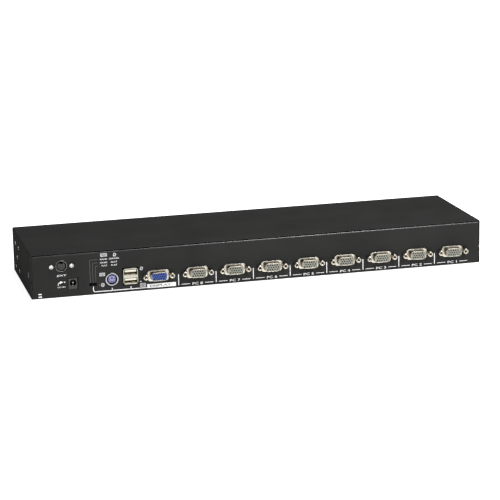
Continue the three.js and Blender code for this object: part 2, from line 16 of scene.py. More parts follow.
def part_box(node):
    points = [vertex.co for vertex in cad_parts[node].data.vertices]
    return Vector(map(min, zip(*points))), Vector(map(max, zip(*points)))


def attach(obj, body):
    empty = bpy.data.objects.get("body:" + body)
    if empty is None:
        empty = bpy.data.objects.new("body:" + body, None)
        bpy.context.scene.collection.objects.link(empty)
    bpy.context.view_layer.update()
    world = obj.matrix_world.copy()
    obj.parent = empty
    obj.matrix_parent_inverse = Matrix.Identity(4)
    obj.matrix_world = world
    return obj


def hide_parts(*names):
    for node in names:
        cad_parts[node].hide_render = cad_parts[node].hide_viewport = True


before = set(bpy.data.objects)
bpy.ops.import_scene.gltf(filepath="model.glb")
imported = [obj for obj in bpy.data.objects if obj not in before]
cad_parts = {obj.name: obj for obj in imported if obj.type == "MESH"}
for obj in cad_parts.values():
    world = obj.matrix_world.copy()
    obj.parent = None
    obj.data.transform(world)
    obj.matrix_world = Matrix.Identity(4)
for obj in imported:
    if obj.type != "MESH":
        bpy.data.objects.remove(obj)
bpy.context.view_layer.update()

MM = 0.001
FROM_BEHIND = Matrix(((-1, 0, 0, 0), (0, 0, 1, 0), (0, 1, 0, 0), (0, 0, 0, 1)))
FROM_FRONT = Matrix(((1, 0, 0, 0), (0, 0, -1, 0), (0, 1, 0, 0), (0, 0, 0, 1)))
FROM_ABOVE = Matrix.Identity(4)
FROM_PLUS_X = Matrix(((0, 0, 1, 0), (1, 0, 0, 0), (0, 1, 0, 0), (0, 0, 0, 1)))
FROM_MINUS_X = Matrix(((0, 0, -1, 0), (-1, 0, 0, 0), (0, 1, 0, 0), (0, 0, 0, 1)))
SMOOTH_ANGLE = math.radians(32)  # edges sharper than this stay crisp

PORTS = range(1, 9)
CASE_LOW, CASE_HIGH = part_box("top_cover")
FRONT, REAR = (corner.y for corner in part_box("base_tray"))

# D socket. Its outlines, jackscrews and contact pitches are those of its CAD solids.
D_WIDTH = 16.33
D_HEIGHT = 7.9
D_RADIUS = 2.6
D_SLANT = math.tan(math.radians(10))
D_WALL = 0.45
FLANGE = (30.8, 12.5, 2.2)  # width, height and corner radius
FLANGE_THICKNESS = 0.5
LAND_TOP = 10.9  # half its width at the top
LAND_BOTTOM = 9.7  # and at the bottom
LAND_HEIGHT = 10.7
LAND_RADIUS = 2.6
LAND_LEVEL = -0.1
LAND_BEVEL = 0.65
FOOT = 0.22  # radius where the collar rises from the land
RIM = 0.7  # how far down from the collar's end its rolled rim reaches
JACK_SPACING = 24.99
JACK_HOLE = 1.45
JACK_ACROSS_FLATS = 4.76
JACK_SHANK = 1.2
CONTACT_PITCH = 2.29
CONTACT_ROW_PITCH = 1.98
CONTACT_HOLE = 0.68
ROW_SHIFT = 0.57

# USB pair: one opening, and where the two are above and below the middle.
BAY_WIDTH = 12.5
BAY_HEIGHT = 5.12
BAY_OFFSETS = (-4.0, 4.0)
MOUTH_CUT = 1.5  # off each corner of the mouth

BARREL_HOLE = 3.15  # radius of the power inlet's opening
PAN_HEAD = 2.05  # radius of a screw's head
FLAT_HEAD = 2.75
EAR_SPREAD = (11.0, 11.35)  # of the rack-ear holes, to either side of the middle one
EAR_FROM_FRONT = 29.0
EAR_LEVEL = 19.45
CAP_WIDTH = 12.0  # of a button
CAP_HEIGHT = 6.0

INK = 0.04  # thickness of printing
INK_LIFT = 0.03  # of printing above what it is printed on


# ---- outlines


def rounded(corners, steps=6):
    """A closed outline through corners (a, b, radius)."""
    out = []
    for i, (a, b, radius) in enumerate(corners):
        here = Vector((a, b))
        if not radius:
            out.append((a, b))
            continue
        back = (Vector(corners[i - 1][:2]) - here).normalized()
        ahead = (Vector(corners[(i + 1) % len(corners)][:2]) - here).normalized()
        half = back.angle(ahead) / 2
        centre = here + (back + ahead).normalized() * (radius / math.sin(half))
        start = here + back * (radius / math.tan(half)) - centre
        end = here + ahead * (radius / math.tan(half)) - centre
        turn = math.atan2(start.x * end.y - start.y * end.x, start.dot(end))
        for step in range(steps + 1):
            angle = turn * step / steps
            out.append((
                centre.x + start.x * math.cos(angle) - start.y * math.sin(angle),
                centre.y + start.x * math.sin(angle) + start.y * math.cos(angle),
            ))
    return out


def box_outline(width, height, radius=0.0, a=0.0, b=0.0, steps=5):
    w, h = width / 2, height / 2
    return rounded([(a - w, b - h, radius), (a + w, b - h, radius),
                    (a + w, b + h, radius), (a - w, b + h, radius)], steps)


def circle(radius, sides, a=0.0, b=0.0):
    return [(a + radius * math.cos(2 * math.pi * i / sides),
             b + radius * math.sin(2 * math.pi * i / sides)) for i in range(sides)]


def d_outline(margin=0.0, steps=7):
    """The D, wide edge up, grown by a margin."""
    top = D_HEIGHT / 2 + margin
    wide = D_WIDTH / 2 + margin
    narrow = wide - (D_HEIGHT + 2 * margin) * D_SLANT
    radius = D_RADIUS + margin
    return rounded([(-narrow, -top, radius), (narrow, -top, radius),
                    (wide, top, radius), (-wide, top, radius)], steps)


def land_outline():
    high = LAND_HEIGHT / 2
    return rounded([(-LAND_BOTTOM, -high, LAND_RADIUS), (LAND_BOTTOM, -high, LAND_RADIUS),
                    (LAND_TOP, high, LAND_RADIUS), (-LAND_TOP, high, LAND_RADIUS)], 7)


def ribbon(points, width):
    """The outline of a line of one width through the points."""
    sides = ([], [])
    for i, point in enumerate(points):
        here = Vector(point)
        before = (here - Vector(points[i - 1])).normalized() if i else None
        after = (Vector(points[i + 1]) - here).normalized() if i + 1 < len(points) else None
        before, after = before or after, after or before
        along = (before + after).normalized()
        across = Vector((-along.y, along.x)) * (width / 2 / max(0.3, along.dot(before)))
        sides[0].append(tuple(here + across))
        sides[1].append(tuple(here - across))
    return sides[0] + sides[1][::-1]


def bent(points, radius, steps=5):
    """A path with its inner corners rounded."""
    corners = [(a, b, radius if 0 < i < len(points) - 1 else 0) for i, (a, b) in enumerate(points)]
    return rounded(corners, steps)


# ---- solids: (corners, faces)


def skin(loops, closed=False):
    """Joins outlines, each a list of (a, b, c) with the same number of points.

    A closed skin runs from its last outline back to its first. Any other one is capped at its ends.
    """
    count = len(loops[0])
    corners = [p for loop in loops for p in loop]
    faces = []
    for row in range(len(loops) if closed else len(loops) - 1):
        lower, upper = row * count, (row + 1) % len(loops) * count
        for i in range(count):
            j = (i + 1) % count
            faces.append([lower + i, lower + j, upper + j, upper + i])
    if not closed:
        faces.append(list(range(count))[::-1])
        faces.append([len(corners) - count + i for i in range(count)])
    return corners, faces


def at_height(outline, c):
    return [(a, b, c) for a, b in outline]


def lathe(profile, sides, closed=False):
    """Turns a profile of (radius, c) round the c axis."""
    return skin([at_height(circle(r, sides), c) for r, c in profile], closed)


def thread(top, bottom, turn):
    """A thread's profile from one height down past another. One turn is given as (radius, drop)."""
    profile = []
    while top > bottom:
        profile += [(radius, top - drop) for radius, drop in turn]
        top -= turn[-1][1]
    return profile


def joined(*solids):
    corners, faces = [], []
    for more_corners, more_faces in solids:
        start = len(corners)
        corners += more_corners
        faces += [[start + i for i in face] for face in more_faces]
    return corners, faces


def moved(solid, a=0.0, b=0.0, c=0.0, turn=0.0):
    """Turns a solid about the c axis, by an angle in radians, and then moves it."""
    matrix = Matrix.Translation((a, b, c)) @ Matrix.Rotation(turn, 4, "Z")
    return [tuple(matrix @ Vector(p)) for p in solid[0]], solid[1]


def repeated(solid, places):
    return joined(*[moved(solid, a, b) for a, b in places])


def from_curve(curve):
    """The mesh of a filled curve, as a closed solid."""
    holder = bpy.data.objects.new("holder", curve)
    mesh = bpy.data.meshes.new_from_object(holder)
    work = bmesh.new()
    work.from_mesh(mesh)
    bmesh.ops.remove_doubles(work, verts=work.verts, dist=1e-4)
    bmesh.ops.dissolve_degenerate(work, edges=work.edges, dist=1e-5)
    corners = [tuple(v.co) for v in work.verts]
    work.verts.index_update()
    faces = [[v.index for v in f.verts] for f in work.faces]
    work.free()
    bpy.data.meshes.remove(mesh)
    bpy.data.objects.remove(holder)
    bpy.data.curves.remove(curve)
    return corners, faces


def slab(outlines, low, high, bevel=0.0, steps=2):
    """A plate from c = low to high. The first outline is its edge and the rest are holes."""
    curve = bpy.data.curves.new("slab", "CURVE")
    curve.dimensions = "2D"
    curve.fill_mode = "BOTH"
    curve.extrude = (high - low) / 2 - bevel
    curve.bevel_depth = bevel
    curve.bevel_resolution = steps
    curve.offset = -bevel
    for outline in outlines:
        spline = curve.splines.new("POLY")
        spline.points.add(len(outline) - 1)
        for point, (a, b) in zip(spline.points, outline):
            point.co = (a, b, 0, 1)
        spline.use_cyclic_u = True
    return moved(from_curve(curve), c=(low + high) / 2)


def lettering(text, a, b, height, width=None, weight=0.0, slant=0.0):
    """Printed characters centred on (a, b), as high and wide as given."""
    curve = bpy.data.curves.new("lettering", "FONT")
    curve.body = text
    curve.size = 10
    curve.offset = weight
    curve.shear = slant
    curve.extrude = 1
    curve.resolution_u = 3
    corners, faces = from_curve(curve)
    low = [min(p[k] for p in corners) for k in range(3)]
    high = [max(p[k] for p in corners) for k in range(3)]
    tall = height / (high[1] - low[1])
    wide = width / (high[0] - low[0]) if width else tall
    thick = INK / (high[2] - low[2])
    placed = [(a + (p[0] - (low[0] + high[0]) / 2) * wide,
               b + (p[1] - (low[1] + high[1]) / 2) * tall,
               (p[2] - low[2]) * thick) for p in corners]
    return placed, faces


# ---- places taken from the CAD


def centre_of(node):
    """The middle of a CAD node's box."""
    low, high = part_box(node)
    return (low + high) / 2


def socket_point(node):
    """Where a socket's axis meets the outside of the rear wall."""
    centre = centre_of(node)
    return Vector((centre.x, REAR, centre.z))


def foot_of(node):
    """The middle of a node's lowest level."""
    centre = centre_of(node)
    return Vector((centre.x, centre.y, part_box(node)[0].z))


def depths(node):
    """Where a node on the rear wall starts and ends, counted out of the wall's outer face."""
    low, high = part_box(node)
    return (low.y - REAR) / MM, (high.y - REAR) / MM


def face_size(node):
    """A node's width and height, as seen from the front or from behind."""
    low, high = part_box(node)
    return (high.x - low.x) / MM, (high.z - low.z) / MM


def block_outline(node, at, radius):
    """The outline of a node's box as seen from behind, round a socket's point."""
    return box_outline(*face_size(node), radius, 0, (centre_of(node).z - at.z) / MM)


# ---- materials


class Nodes:
    """A material's node tree, with short names for the nodes that the finishes share."""

    def __init__(self, name):
        self.material = bpy.data.materials.new(name)
        self.material.use_nodes = True
        self.tree = self.material.node_tree
        self.shader = self.tree.nodes["Principled BSDF"]
        self.place = self.new("ShaderNodeTexCoord").outputs["Object"]

    def new(self, kind, **settings):
        node = self.tree.nodes.new(kind)
        for key, value in settings.items():
            setattr(node, key, value)
        return node

    def link(self, source, target):
        self.tree.links.new(source, target)

    def noise(self, scale, detail, stretch=None):
        node = self.new("ShaderNodeTexNoise")
        node.inputs["Scale"].default_value = scale
        node.inputs["Detail"].default_value = detail
        node.inputs["Roughness"].default_value = 0.55
        source = self.place
        if stretch:
            mapping = self.new("ShaderNodeMapping")
            mapping.inputs["Scale"].default_value = stretch
            self.link(source, mapping.inputs["Vector"])
            source = mapping.outputs["Vector"]
        self.link(source, node.inputs["Vector"])
        return node.outputs["Fac"]

    def spread(self, value, low, high, start=0.3, end=0.7):
        """Maps a texture's value onto the range low to high."""
        node = self.new("ShaderNodeMapRange")
        for key, number in (("From Min", start), ("From Max", end), ("To Min", low), ("To Max", high)):
            node.inputs[key].default_value = number
        self.link(value, node.inputs["Value"])
        return node.outputs["Result"]

    def blend(self, factor, first, second):
        """Mixes two colours, each a tuple or a socket."""
        node = self.new("ShaderNodeMix", data_type="RGBA")
        self.link(factor, node.inputs["Factor"])
        for socket, value in ((node.inputs["A"], first), (node.inputs["B"], second)):
            if isinstance(value, tuple):
                socket.default_value = (*value, 1)
            else:
                self.link(value, socket)
        return node.outputs["Result"]

    def bump(self, height, distance, strength, below=None):
        node = self.new("ShaderNodeBump")
        node.inputs["Strength"].default_value = strength
        node.inputs["Distance"].default_value = distance
        self.link(height, node.inputs["Height"])
        if below:
            self.link(below, node.inputs["Normal"])
        return node.outputs["Normal"]

    def edges(self, radius):
        """A normal that rounds sharp edges off, and a mask: near 1 along them and 0 on flats."""
        bevel = self.new("ShaderNodeBevel", samples=6)
        bevel.inputs["Radius"].default_value = radius
        geometry = self.new("ShaderNodeNewGeometry")
        dot = self.new("ShaderNodeVectorMath", operation="DOT_PRODUCT")
        self.link(bevel.outputs["Normal"], dot.inputs[0])
        self.link(geometry.outputs["Normal"], dot.inputs[1])
        return bevel.outputs["Normal"], self.spread(dot.outputs["Value"], 1.0, 0.0, 0.8, 0.99)

    def seams(self, reach):
        """A mask for painted shade: 0 deep in a seam or hole narrower than the reach, and 1 in the
        open.
        """
        node = self.new("ShaderNodeAmbientOcclusion", samples=6)
        node.inputs["Distance"].default_value = reach
        return self.spread(node.outputs["AO"], 0, 1, 0.1, 0.8)

    def bend(self):
        """1 half way round the bend between the top and the rear wall, and 0 on flats."""
        geometry = self.new("ShaderNodeNewGeometry")
        parts = self.new("ShaderNodeSeparateXYZ")
        self.link(geometry.outputs["Normal"], parts.inputs[0])
        both = self.new("ShaderNodeMath", operation="MULTIPLY")
        self.link(parts.outputs["Y"], both.inputs[0])
        self.link(parts.outputs["Z"], both.inputs[1])
        doubled = self.new("ShaderNodeMath", operation="MULTIPLY")
        self.link(both.outputs[0], doubled.inputs[0])
        doubled.inputs[1].default_value = 2.0
        return doubled.outputs[0]

    def finish(self, color=None, roughness=None, normal=None, **fixed):
        """Connects what varies, and sets what is the same all over on the shader itself."""
        for name, value in (("Base Color", color), ("Roughness", roughness), ("Normal", normal)):
            if isinstance(value, tuple):
                self.shader.inputs[name].default_value = (*value, 1)
            elif isinstance(value, float):
                self.shader.inputs[name].default_value = value
            elif value is not None:
                self.link(value, self.shader.inputs[name])
        for name, value in fixed.items():
            self.shader.inputs[name.replace("_", " ")].default_value = value
        return self.material


def shade(color, factor):
    return tuple(min(1.0, part * factor) for part in color)


def powder_coat(name, color):
    """Matt paint: a pebbled grain, uneven cover and light specks.

    It is lighter along edges, partly from rubbed wear and partly a painted highlight, and painted shade
    darkens it inside seams. The bend at the rear is glossier.
    """
    n = Nodes(name)
    grain = n.noise(2600, 2)
    pebble = n.noise(900, 2)
    cloud = n.noise(22, 4)
    rounded_edge, rubbed_and_highlit = n.edges(0.0005)
    speck = n.spread(n.noise(1500, 4), 0, 0.5, 0.62, 0.75)
    base = n.blend(n.spread(cloud, 0, 1), shade(color, 0.9), shade(color, 1.1))
    base = n.blend(speck, base, shade(color, 1.5))
    # painted highlight: edges are lightened towards 2.4 times the paint colour, partly rubbed wear and
    # partly light caught on them
    base = n.blend(n.spread(rubbed_and_highlit, 0, 0.4, 0.1, 1), base, shade(color, 2.4))
    # painted shade: the paint is darkened to a tenth of its colour deep in seams and holes, where shade
    # falls
    base = n.blend(n.seams(0.002), shade(color, 0.1), base)
    normal = n.bump(grain, 0.00003, 0.6, n.bump(pebble, 0.00005, 0.5, rounded_edge))
    n.link(n.spread(n.bend(), 0, 1, 0.15, 0.6), n.shader.inputs["Coat Weight"])
    n.link(rounded_edge, n.shader.inputs["Coat Normal"])
    return n.finish(base, n.spread(cloud, 0.84, 0.94), normal, Specular_IOR_Level=0.0,
                    Coat_Roughness=0.25, Coat_IOR=1.75)


def plated(name, color, roughness, dull=0.12, metallic=1.0):
    """Metal plate: faint drawing lines, and patches that are lighter but less shiny."""
    n = Nodes(name)
    lines = n.noise(260, 3, stretch=(1, 1, 14))
    bloom = n.noise(170, 3)
    base = n.blend(n.spread(bloom, 0, 1), shade(color, 0.82), color)
    normal = n.bump(lines, 0.00003, 0.5)
    return n.finish(base, n.spread(bloom, roughness, roughness + dull), normal, Metallic=metallic)


def moulded(name, color, roughness=0.45, grain=3200, depth=0.00003, gloss=0.5):
    """Moulded plastic: fine spark-eroded grain, slight colour drift, lighter rubbed edges."""
    n = Nodes(name)
    cloud = n.noise(120, 3)
    base = n.blend(n.spread(cloud, 0, 1), shade(color, 0.9), shade(color, 1.08))
    base = n.blend(n.spread(n.edges(0.0002)[1], 0, 0.3, 0.2, 1), base, shade(color, 1.5))
    normal = n.bump(n.noise(grain, 2), depth, 0.6)
    return n.finish(base, n.spread(cloud, roughness - 0.06, roughness + 0.08), normal,
                    Specular_IOR_Level=gloss)


def printed(name, color):
    """Screen ink: slightly uneven cover with pin-prick gaps."""
    n = Nodes(name)
    base = n.blend(n.spread(n.noise(1800, 3), 0, 1, 0.3, 0.55), shade(color, 0.8), color)
    return n.finish(base, n.spread(n.noise(700, 2), 0.45, 0.6), n.bump(n.noise(2400, 2), 0.00002, 0.5))


def circuit_board(name):
    """Green mask with the tracks showing through as a raised, lighter pattern."""
    n = Nodes(name)
    tracks = n.new("ShaderNodeTexBrick")
    for key, number in (("Scale", 160.0), ("Mortar Size", 0.028), ("Brick Width", 0.7),
                        ("Row Height", 0.22)):
        tracks.inputs[key].default_value = number
    n.link(n.place, tracks.inputs["Vector"])
    base = n.blend(tracks.outputs["Fac"], (0.006, 0.075, 0.03), (0.02, 0.2, 0.085))
    base = n.blend(n.spread(n.noise(40, 3), 0, 0.5), base, (0.004, 0.05, 0.02))
    return n.finish(base, 0.32, n.bump(tracks.outputs["Fac"], 0.00004, 0.6))


def flat_cable(name):
    """Grey ribbon with a groove between its wires."""
    n = Nodes(name)
    wave = n.new("ShaderNodeTexWave", bands_direction="X")
    wave.inputs["Scale"].default_value = 250
    n.link(n.place, wave.inputs["Vector"])
    base = n.blend(wave.outputs["Fac"], (0.16, 0.16, 0.16), (0.36, 0.36, 0.36))
    return n.finish(base, n.spread(n.noise(300, 2), 0.5, 0.65),
                    n.bump(wave.outputs["Fac"], 0.0003, 0.6))


def clear_plastic(name):
    n = Nodes(name)
    return n.finish((0.82, 0.88, 0.82), n.spread(n.noise(500, 2), 0.12, 0.3),
                    n.bump(n.noise(600, 2), 0.00003, 0.4), Transmission_Weight=0.6, IOR=1.49)


COAT = powder_coat("black_powder_coat", (0.0262, 0.0262, 0.0257))
BLACK_SCREW = plated("black_zinc", (0.03, 0.03, 0.031), 0.5, metallic=0.3)
NICKEL = plated("nickel_plate", (0.52, 0.485, 0.415), 0.28, 0.06)
# a darkened copy of the nickel plate: painted shade on the walls of the D collars
SHADED_NICKEL = plated("nickel_plate_painted_shade", (0.13, 0.115, 0.085), 0.3)
DULL_STEEL = plated("dull_nickel_plate", (0.36, 0.36, 0.34), 0.36)
PALE_NICKEL = plated("pale_nickel_plate", (0.42, 0.42, 0.46), 0.3)
TIN = plated("tin_plate", (0.42, 0.4, 0.35), 0.3)
BAY_LINING = plated("bay_lining", (0.6, 0.56, 0.38), 0.5, metallic=0.3)
ZINC = plated("zinc_plate", (0.72, 0.72, 0.7), 0.24)
BRIGHT_STEEL = plated("bright_steel", (0.6, 0.6, 0.57), 0.16, 0.08)
GOLD = plated("gilt_contact", (0.86, 0.62, 0.25), 0.25)
# near black for the contacts: painted shade inside the contact holes
SHADE_BLACK_CONTACT = moulded("contact_painted_shade_black", (0.004, 0.004, 0.004), 0.6, gloss=0.1)
GREY = moulded("grey_plastic", (0.21, 0.21, 0.175))
BLUE = moulded("blue_plastic", (0.014, 0.05, 0.24))
LILAC = moulded("lilac_plastic", (0.22, 0.22, 0.42))
SOOTY = moulded("dark_grey_plastic", (0.026, 0.025, 0.022), 0.5)
BLACK = moulded("black_plastic", (0.012, 0.012, 0.012), 0.4)
# black plastic for the slider knob, and also painted shade for the liners in the round sockets
PITCH = moulded("pitch_black_plastic_and_painted_shade", (0.004, 0.004, 0.005), 0.6, gloss=0.1)
CREAM = moulded("cream_plastic", (0.78, 0.74, 0.62))
KEY_GREY = moulded("button_plastic", (0.3, 0.31, 0.31), 0.5, 2600, 0.00005)
FILM = moulded("label_film", (0.016, 0.017, 0.019), 0.38, 3600, 0.00004)
CHIP = moulded("chip_epoxy", (0.014, 0.014, 0.014), 0.55, 2400, 0.00006)
WHITE_INK = printed("white_ink", (0.86, 0.86, 0.86))
THIN_INK = printed("thin_ink", (0.5, 0.5, 0.5))
FAINT_INK = printed("faint_ink", (0.11, 0.11, 0.11))
DARK_INK = printed("dark_ink", (0.015, 0.015, 0.015))
BOARD = circuit_board("circuit_board")
CABLE = flat_cable("flat_cable")
CLEAR = clear_plastic("clear_plastic")

CARRIED_OVER = {
    "base_tray": COAT, "top_cover": COAT, "front_label": FILM, "light_pipe": CLEAR,
    "main_board": BOARD, "front_board": BOARD, "board_link_cable": CABLE, "aux_cable": CABLE,
    "dc_inlet_pin": DULL_STEEL, "mode_switch_frame": BLACK, "voltage_regulator": CHIP,
    **{name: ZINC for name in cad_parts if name.startswith("board_standoff_")},
}
for node_name, node_material in CARRIED_OVER.items():
    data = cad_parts[node_name].data
    data.materials.clear()
    data.materials.append(node_material)


def piece(name, solid, material, at, view=FROM_BEHIND, body="case", replaces=None):
    """Makes a mesh object at a point of the frame, and says what it rides on and what it replaces."""
    corners, faces = solid
    mesh = bpy.data.meshes.new(name)
    matrix = Matrix.Translation(at) @ view @ Matrix.Scale(MM, 4)
    mesh.from_pydata([matrix @ Vector(p) for p in corners], [], faces)
    work = bmesh.new()
    work.from_mesh(mesh)
    bmesh.ops.recalc_face_normals(work, faces=work.faces)
    work.to_mesh(mesh)
    work.free()
    mesh.shade_smooth()
    mesh.set_sharp_from_angle(angle=SMOOTH_ANGLE)
    mesh.materials.append(material)
    obj = bpy.data.objects.new(name, mesh)
    bpy.context.scene.collection.objects.link(obj)
    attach(obj, body)
    if replaces:
        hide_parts(replaces)


# ---- D sockets


def hex_jack(back, reach):
    """Hexagonal nut with chamfered corners and a threaded bore."""
    sides = 48
    angles = [2 * math.pi * i / sides for i in range(sides)]

    def loop(radii, c):
        return [(r * math.sin(t), r * math.cos(t), c) for r, t in zip(radii, angles)]

    def hexagon(c, cone=math.inf):
        """The nut's outline, no further out than a cone's radius."""
        within = [(t + math.pi / 6) % (math.pi / 3) - math.pi / 6 for t in angles]
        return loop([min(JACK_ACROSS_FLATS / 2 / math.cos(t), cone) for t in within], c)

    nut = [hexagon(back), hexagon(reach - 0.75), hexagon(reach - 0.4, 2.5), hexagon(reach - 0.12, 2.2)]
    bore = [(2.0, reach), (1.7, reach), (1.58, reach - 0.08), (1.25, reach - 0.4)]
    bore += thread(reach - 0.4, 0.8, ((1.42, 0.2), (1.42, 0.3), (1.2, 0.52), (1.2, 0.64)))
    bore.append((0.6, bore[-1][1] - 0.4))
    return skin(nut + [loop([radius] * sides, c) for radius, c in bore])


def d_swept(profile):
    """A closed profile of (margin, c) taken round the D."""
    return skin([at_height(d_outline(margin), c) for margin, c in profile], closed=True)


def d_shell(flange_low, flange_high, reach):
    """Stamped flange with a raised land and its openings, and the rolled rim of the collar."""
    half = D_WALL / 2
    opening = d_outline(-half)
    jack_holes = [circle(JACK_HOLE, 20, side * JACK_SPACING / 2) for side in (-1, 1)]
    flange = slab([box_outline(*FLANGE), opening, *jack_holes], flange_low, flange_high, 0.12)
    land = slab([land_outline(), opening], flange_high - 0.1, LAND_LEVEL, LAND_BEVEL, 5)
    rolled = [(-half + half * math.cos(t), reach - half + half * math.sin(t))
              for t in [math.radians(22.5 * i) for i in range(9)]]
    return joined(flange, land, d_swept([(0, reach - RIM), *rolled, (-D_WALL, reach - RIM)]))


def d_wall(flange_low, reach):
    """The collar between the land and its rim, with a small fillet at its foot."""
    quarter = [math.radians(15 * i) for i in range(7)]
    fillet = [(FOOT * (1 - math.sin(t)), LAND_LEVEL + FOOT * (1 - math.cos(t)) - 0.02) for t in quarter]
    return d_swept([(FOOT, flange_low), *fillet, (0, reach - RIM), (-D_WALL, reach - RIM),
                    (-D_WALL, flange_low)])


def contact_points():
    for row in (-1, 0, 1):
        shift = ROW_SHIFT if row == 0 else -ROW_SHIFT
        for i in range(5):
            yield shift + (i - 2) * CONTACT_PITCH, row * CONTACT_ROW_PITCH


def d_insulator(block, back, wall_back, front):
    """Moulded nose with fifteen contact holes, and the block behind the flange."""
    edge = d_outline(-D_WALL - 0.12)
    holes = [circle(CONTACT_HOLE, 16, a, b) for a, b in contact_points()]
    nose = slab([edge, *holes], front - 3.2, front, 0.13)
    stem = slab([edge], wall_back - 0.5, front - 3.1)
    return joined(nose, stem, slab([block], back, wall_back, 0.3))


def d_contacts(front):
    """Sleeves a little way down the holes, each with a blind bore, coloured near black as painted shade
    inside the holes.
    """
    outside = CONTACT_HOLE - 0.01
    sleeve = lathe([(outside, front - 3.1), (outside, front - 0.12), (0.42, front - 0.16),
                    (0.38, front - 2.9)], 16)
    return repeated(sleeve, contact_points())


def video_socket(name, shell_node, insulator_node, plastic):
    at = socket_point(shell_node)
    flange_low, reach = depths(shell_node)
    flange_high = flange_low + FLANGE_THICKNESS
    shell = d_shell(flange_low, flange_high, reach)
    piece(f"{name}_stamped_shell", shell, NICKEL, at, replaces=shell_node)
    # the collar's walls use the darkened nickel, as painted shade
    piece(f"{name}_drawn_collar", d_wall(flange_low, reach), SHADED_NICKEL, at)
    for side, word in ((-1, "left"), (1, "right")):
        shank = lathe([(JACK_SHANK, flange_high), (JACK_SHANK, 0.3)], 20)
        jack = moved(joined(hex_jack(0.1, reach - 0.1), shank), side * JACK_SPACING / 2,
                     turn=math.radians(side * 9 + 14))
        piece(f"{name}_jackscrew_{word}", jack, NICKEL, at)
    back, front = depths(insulator_node)
    insulator = d_insulator(block_outline(insulator_node, at, 0.6), back, flange_low - 0.1, front)
    piece(f"{name}_contact_block", insulator, plastic, at, replaces=insulator_node)
    piece(f"{name}_contacts", d_contacts(front), SHADE_BLACK_CONTACT, at)


video_socket("display_out", "console_shell", "console_insulator", BLUE)
for number in PORTS:
    video_socket(f"computer_{number}", f"port_{number}_shell", f"port_{number}_insulator", GREY)


# ---- USB pair


def cut_corner_outline(width, height, cut):
    w, h = width / 2, height / 2
    return [(-w + cut, -h), (w - cut, -h), (w, -h + cut), (w, h - cut),
            (w - cut, h), (-w + cut, h), (-w, h - cut), (-w, -h + cut)]


def usb_pair():
    at = socket_point("usb_shell")
    width, height = face_size("usb_shell")
    back, front = depths("usb_shell")
    bays = [box_outline(BAY_WIDTH, BAY_HEIGHT, 0.3, 0, b) for b in BAY_OFFSETS]
    tube = slab([box_outline(width - 0.7, height - 0.7, 0.6), *bays], back, front - 0.5, 0.1)
    mouth = slab([cut_corner_outline(width, height, MOUTH_CUT), *bays], front - 0.55, front, 0.16, 3)
    piece("usb_stamped_shell", joined(tube, mouth), TIN, at, replaces="usb_shell")

    tongues, contacts, linings = [], [], []
    for b in BAY_OFFSETS:
        top = b + BAY_HEIGHT / 2 - 0.7
        tongues.append(slab([box_outline(11.1, 1.84, 0.25, 0, top - 0.92)], -14, front - 0.9, 0.2))
        tongues.append(slab([box_outline(12.1, 4.7, 0.3, 0, b)], back + 0.5, -13, 0.1))
        contacts += [slab([box_outline(1.1, 0.3, 0.05, (i - 1.5) * 2.3, top - 1.9)],
                          -13, front - 1.8, 0.04) for i in range(4)]
        linings += [slab([box_outline(4.4, 0.16, 0.04, side * 3.1, b - 2.45)],
                         -12, front - 0.6, 0.04) for side in (-1, 1)]
    tongues.append(slab([box_outline(10, 12, 0.4)], back - 1.5, back + 0.6, 0.1))
    piece("usb_tongues", joined(*tongues), CREAM, at, replaces="usb_insulator")
    piece("usb_contacts", joined(*contacts), GOLD, at)
    piece("usb_grounding_springs", joined(*linings), BAY_LINING, at)


usb_pair()


# ---- round sockets


def pierced_plug(edge, holes, hole_radius, back, face, keyways=()):
    """The moulding inside a round socket: holes in its first 3 mm, and solid behind them."""
    openings = [circle(hole_radius, 14, a, b) for a, b in holes]
    return joined(slab([edge, *openings, *keyways], face - 3, face, 0.1),
                  slab([edge], back, face - 2.9))


def notched_circle(radius, half_width, bottom, sides=48):
    """A circle with a straight-sided notch cut into its top, down to a height."""
    edge = math.acos(half_width / radius)
    span = 2 * math.pi - (math.pi - 2 * edge)
    arc = [(radius * math.cos(math.pi - edge + span * i / sides),
            radius * math.sin(math.pi - edge + span * i / sides)) for i in range(sides + 1)]
    return arc + [(half_width, bottom), (-half_width, bottom)]


def on_circle(radius, degrees, b=0.0):
    angles = [math.radians(d) for d in degrees]
    return [(radius * math.cos(t), b + radius * math.sin(t)) for t in angles]


